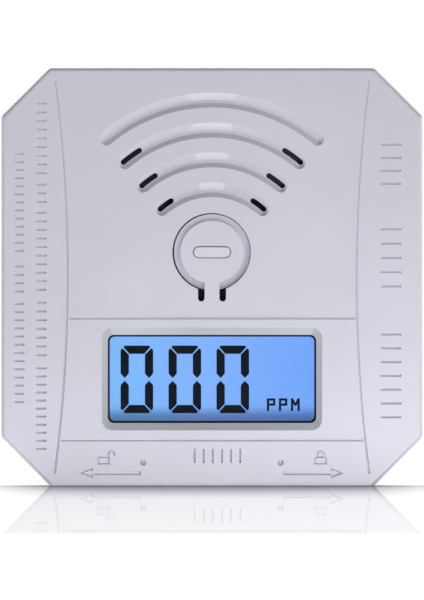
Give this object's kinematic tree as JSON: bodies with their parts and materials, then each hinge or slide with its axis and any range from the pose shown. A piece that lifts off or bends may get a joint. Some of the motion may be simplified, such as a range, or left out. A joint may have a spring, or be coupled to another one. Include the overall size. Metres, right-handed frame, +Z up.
{
  "type": "carbon monoxide alarm",
  "caption": "Square wall alarm with cut corners: blue digital display, round test button on a flexing tongue, arc grooves with gas slots, and a slide-on wall plate.",
  "frame": {"origin": "middle of the base, on the surface that the detector stands on", "axes": "+Z up, +X to the right of a person facing the detector, front face towards -Y, wall plate at +Y"},
  "size_m": [0.102, 0.038, 0.101],
  "materials": {
    "light_guide": "clear acrylic lit blue",
    "led_block": "white package, yellow phosphor",
    "reflector": "white reflecting film",
    "board_strip": "white solder mask",
    "cell_sleeve": "plain printed sleeve",
    "spring_nickel": "nickel plated wire",
    "screw_steel": "zinc plated",
    "capacitor_sleeve": "shrink sleeve",
    "chip_parts": "ceramic chips",
    "ferrite": "sintered ferrite",
    "enamelled_copper": "enamelled wire",
    "contact_nickel": "nickel plated",
    "polariser": "grey film",
    "display_glass": "clear thin glass",
    "gasket_foam": "matt black foam",
    "holder_plastic": "natural white moulding",
    "segment_dark": "dark liquid crystal",
    "shell_white": "fine satin white moulding",
    "lens_frosted": "frosted translucent",
    "board_green": "green solder mask",
    "chip_black": "epoxy package",
    "tinned_lead": "tinned",
    "plate_white": "satin white moulding",
    "rear_white": "fine satin white moulding",
    "sensor_black": "black moulding",
    "sensor_cap_grey": "dark grey moulding",
    "filter_charcoal": "black cloth",
    "sounder_black": "black moulding",
    "ceramic_disc": "silvered ceramic",
    "brass_disc": "thin sheet",
    "led_amber": "tinted epoxy",
    "led_green": "tinted epoxy",
    "led_red": "tinted epoxy",
    "switch_black": "black moulding",
    "switch_steel": "tinned cover",
    "plunger_plastic": "black moulding",
    "button_white": "fine satin white moulding",
    "zebra_rubber": "striped silicone"
  },
  "bodies": {
    "wall_bracket": {"mounting_plate": "plate_white"},
    "housing": {"backlight_guide": "light_guide", "backlight_leds": "led_block", "backlight_reflector": "reflector", "backlight_strip": "board_strip", "battery_cell_1": "cell_sleeve", "battery_cell_2": "cell_sleeve", "battery_cell_3": "cell_sleeve", "battery_springs": "spring_nickel", "board_screws": "screw_steel", "capacitors": "capacitor_sleeve", "case_screws": "screw_steel", "chip_components": "chip_parts", "coil_core": "ferrite", "coil_winding": "enamelled_copper", "contact_bridge_lower": "contact_nickel", "contact_bridge_upper": "contact_nickel", "contact_negative": "contact_nickel", "contact_positive": "contact_nickel", "display_front_film": "polariser", "display_front_glass": "display_glass", "display_gasket": "gasket_foam", "display_holder": "holder_plastic", "display_rear_film": "polariser", "display_rear_glass": "display_glass", "display_segments": "segment_dark", "front_cover": "shell_white", "main_board": "board_green", "microcontroller": "chip_black", "microcontroller_leads": "tinned_lead", "rear_housing": "rear_white", "sensor_body": "sensor_black", "sensor_cap": "sensor_cap_grey", "sensor_filter": "filter_charcoal", "sounder_base": "sounder_black", "sounder_case": "sounder_black", "sounder_ceramic": "ceramic_disc", "sounder_diaphragm": "brass_disc", "status_led_amber": "led_amber", "status_led_green": "led_green", "status_led_red": "led_red", "switch_body": "switch_black", "switch_cover": "switch_steel", "zebra_strip": "zebra_rubber"},
    "button": {"test_button": "button_white", "indicator_lens": "lens_frosted"},
    "switch_key": {"switch_plunger": "plunger_plastic"}
  },
  "joints": [
    {"name": "slide_off_wall_plate", "type": "slide", "parent": "wall_bracket", "child": "housing", "axis": [1, 0, 0], "range_m": [-0.008, 0]},
    {"name": "test_button_press", "type": "hinge", "parent": "housing", "child": "button", "pos_m": [0, -0.019, 0.0445], "axis": [-1, 0, 0], "range_deg": [0, 3.1], "stiffness_Nm_per_rad": 0.6},
    {"name": "switch_press", "type": "slide", "parent": "housing", "child": "switch_key", "axis": [0, 1, 0], "range_m": [0, 0.00035]}
  ],
  "couplings": [
    {"joint": "test_button_press", "follows": "switch_press", "rad_per_m": 153.85}
  ]
}
